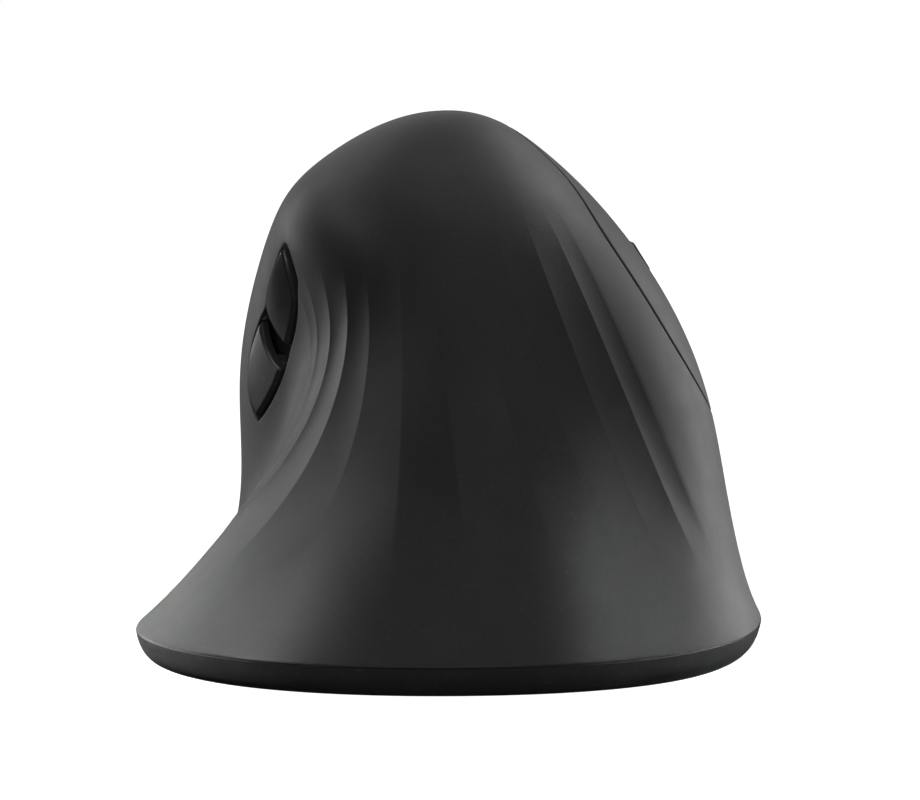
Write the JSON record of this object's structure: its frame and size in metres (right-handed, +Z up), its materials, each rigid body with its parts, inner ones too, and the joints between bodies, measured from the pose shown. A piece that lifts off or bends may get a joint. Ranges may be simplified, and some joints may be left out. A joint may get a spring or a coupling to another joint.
{
  "type": "vertical ergonomic mouse",
  "caption": "Right-hand vertical mouse: tall fluted palm shell over a dark tray, inclined finger keys with a scroll wheel, thumb buttons and a battery bay below.",
  "frame": {"origin": "centre of the bounding box on the desk plane, under the glides", "axes": "+X to the finger side, +Y forward towards the key tips, +Z up; the palm faces -Y and the thumb side faces -X"},
  "size_m": [0.0798, 0.1126, 0.0689],
  "materials": {
    "shell_plastic": "soft-touch matt black",
    "tray_plastic": "fine matt black",
    "panel_plastic": "soft-touch matt black",
    "thumb_plastic": "polished black",
    "tyre_rubber": "ribbed matt",
    "hub_plastic": "satin grey",
    "frame_plastic": "moulded matt",
    "pin_steel": "ground",
    "screw_steel": "zinc plated, dark",
    "board_laminate": "green solder mask",
    "chip_plastic": "moulded epoxy",
    "lens_plastic": "clear moulded",
    "lamp_plastic": "tinted clear",
    "can_aluminium": "drawn can",
    "socket_plastic": "natural nylon",
    "ribbon_film": "flat ribbon film",
    "switch_case": "glass-filled",
    "switch_plunger": "natural acetal",
    "slider_plastic": "mid grey",
    "cell_wrap": "plain sleeve",
    "contact_steel": "nickel plated",
    "receiver_plastic": "fine matt black",
    "receiver_steel": "bright plated",
    "glide_plastic": "slippery dark grey"
  },
  "bodies": {
    "case": {"palm_shell": "shell_plastic", "base_tray": "tray_plastic", "finger_cover": "panel_plastic", "finger_bracket": "frame_plastic", "thumb_bracket": "frame_plastic", "key_hinge_pin": "pin_steel", "cradle_pin": "pin_steel", "case_screws": "screw_steel", "board_screws": "screw_steel", "finger_board_screws": "screw_steel", "thumb_board_screws": "screw_steel", "main_board": "board_laminate", "finger_board": "board_laminate", "thumb_board": "board_laminate", "circuit_chips": "chip_plastic", "optical_sensor": "chip_plastic", "sensor_lens": "lens_plastic", "sensor_led": "lamp_plastic", "smoothing_capacitors": "can_aluminium", "board_sockets": "socket_plastic", "finger_ribbon": "ribbon_film", "thumb_ribbon": "ribbon_film", "index_switch": "switch_case", "middle_switch": "switch_case", "wheel_click_switch": "switch_case", "thumb_back_switch": "switch_case", "thumb_forward_switch": "switch_case", "pairing_switch": "switch_case", "power_switch": "switch_case", "battery_cell": "cell_wrap", "battery_contact_rear": "contact_steel", "battery_contact_front": "contact_steel", "front_glide": "glide_plastic", "rear_glide": "glide_plastic", "thumb_side_glide": "glide_plastic", "finger_side_glide": "glide_plastic"},
    "index_key": {"index_button": "panel_plastic"},
    "middle_key": {"middle_button": "panel_plastic"},
    "index_plunger": {"index_switch_plunger": "switch_plunger"},
    "middle_plunger": {"middle_switch_plunger": "switch_plunger"},
    "wheel_carrier": {"wheel_cradle": "frame_plastic", "wheel_encoder": "chip_plastic"},
    "scroll_wheel": {"scroll_tyre": "tyre_rubber", "scroll_hub": "hub_plastic", "wheel_axle": "pin_steel"},
    "click_plunger": {"wheel_click_plunger": "switch_plunger"},
    "thumb_back": {"thumb_back_button": "thumb_plastic"},
    "thumb_back_pin": {"thumb_back_plunger": "switch_plunger"},
    "thumb_forward": {"thumb_forward_button": "thumb_plastic"},
    "thumb_forward_pin": {"thumb_forward_plunger": "switch_plunger"},
    "power_switch_slider": {"power_slider": "slider_plastic"},
    "pairing_key": {"pairing_button": "slider_plastic"},
    "pairing_pin": {"pairing_plunger": "switch_plunger"},
    "bay_door": {"battery_door": "tray_plastic"},
    "receiver": {"receiver_cap": "receiver_plastic", "receiver_plug": "receiver_steel"}
  },
  "joints": [
    {"name": "index_press", "type": "hinge", "parent": "case", "child": "index_key", "pos_m": [0.019, -0.00154, 0.04509], "axis": [-0.5299, 0, 0.848], "range_deg": [0, 0.85], "stiffness_Nm_per_rad": 1.15, "springref_deg": -0.23},
    {"name": "middle_press", "type": "hinge", "parent": "case", "child": "middle_key", "pos_m": [0.019, -0.00154, 0.04509], "axis": [-0.5299, 0, 0.848], "range_deg": [0, 0.85], "stiffness_Nm_per_rad": 1.15, "springref_deg": -0.23},
    {"name": "index_plunger_slide", "type": "slide", "parent": "case", "child": "index_plunger", "axis": [-0.848, 0, -0.5299], "range_m": [0, 0.0004]},
    {"name": "middle_plunger_slide", "type": "slide", "parent": "case", "child": "middle_plunger", "axis": [-0.848, 0, -0.5299], "range_m": [0, 0.0004]},
    {"name": "wheel_press", "type": "hinge", "parent": "case", "child": "wheel_carrier", "pos_m": [0.01095, -0.00254, 0.04005], "axis": [-0.5299, 0, 0.848], "range_deg": [0, 0.75], "stiffness_Nm_per_rad": 1.2, "springref_deg": -0.23},
    {"name": "wheel_scroll", "type": "hinge", "parent": "wheel_carrier", "child": "scroll_wheel", "pos_m": [0.01652, 0.01246, 0.04354], "axis": [-0.5299, 0, 0.848], "continuous": true},
    {"name": "click_plunger_slide", "type": "slide", "parent": "case", "child": "click_plunger", "axis": [-0.848, 0, -0.5299], "range_m": [0, 0.0004]},
    {"name": "thumb_back_press", "type": "slide", "parent": "case", "child": "thumb_back", "axis": [1, 0, 0], "range_m": [0, 0.0004], "stiffness_N_per_m": 1200, "springref_m": -0.0001},
    {"name": "thumb_back_pin_slide", "type": "slide", "parent": "case", "child": "thumb_back_pin", "axis": [1, 0, 0], "range_m": [0, 0.0004]},
    {"name": "thumb_forward_press", "type": "slide", "parent": "case", "child": "thumb_forward", "axis": [1, 0, 0], "range_m": [0, 0.0004], "stiffness_N_per_m": 1200, "springref_m": -0.0001},
    {"name": "thumb_forward_pin_slide", "type": "slide", "parent": "case", "child": "thumb_forward_pin", "axis": [1, 0, 0], "range_m": [0, 0.0004]},
    {"name": "power_slide", "type": "slide", "parent": "case", "child": "power_switch_slider", "axis": [1, 0, 0], "range_m": [0, 0.002]},
    {"name": "pairing_press", "type": "slide", "parent": "case", "child": "pairing_key", "axis": [0, 0, 1], "range_m": [0, 0.0003], "stiffness_N_per_m": 1200, "springref_m": -0.0001},
    {"name": "pairing_pin_slide", "type": "slide", "parent": "case", "child": "pairing_pin", "axis": [0, 0, 1], "range_m": [0, 0.0003]},
    {"name": "bay_door_hinge", "type": "hinge", "parent": "case", "child": "bay_door", "pos_m": [-0.00458, 0.00951, 0.0013], "axis": [1, 0, 0], "range_deg": [0, 75]},
    {"name": "receiver_slide", "type": "slide", "parent": "case", "child": "receiver", "axis": [0, 0, -1], "range_m": [0, 0.018]}
  ],
  "couplings": [
    {"joint": "index_plunger_slide", "follows": "index_press", "m_per_rad": 0.0255},
    {"joint": "middle_plunger_slide", "follows": "middle_press", "m_per_rad": 0.0255},
    {"joint": "click_plunger_slide", "follows": "wheel_press", "m_per_rad": 0.0295},
    {"joint": "thumb_back_pin_slide", "follows": "thumb_back_press", "ratio": 1},
    {"joint": "thumb_forward_pin_slide", "follows": "thumb_forward_press", "ratio": 1},
    {"joint": "pairing_pin_slide", "follows": "pairing_press", "ratio": 1}
  ]
}
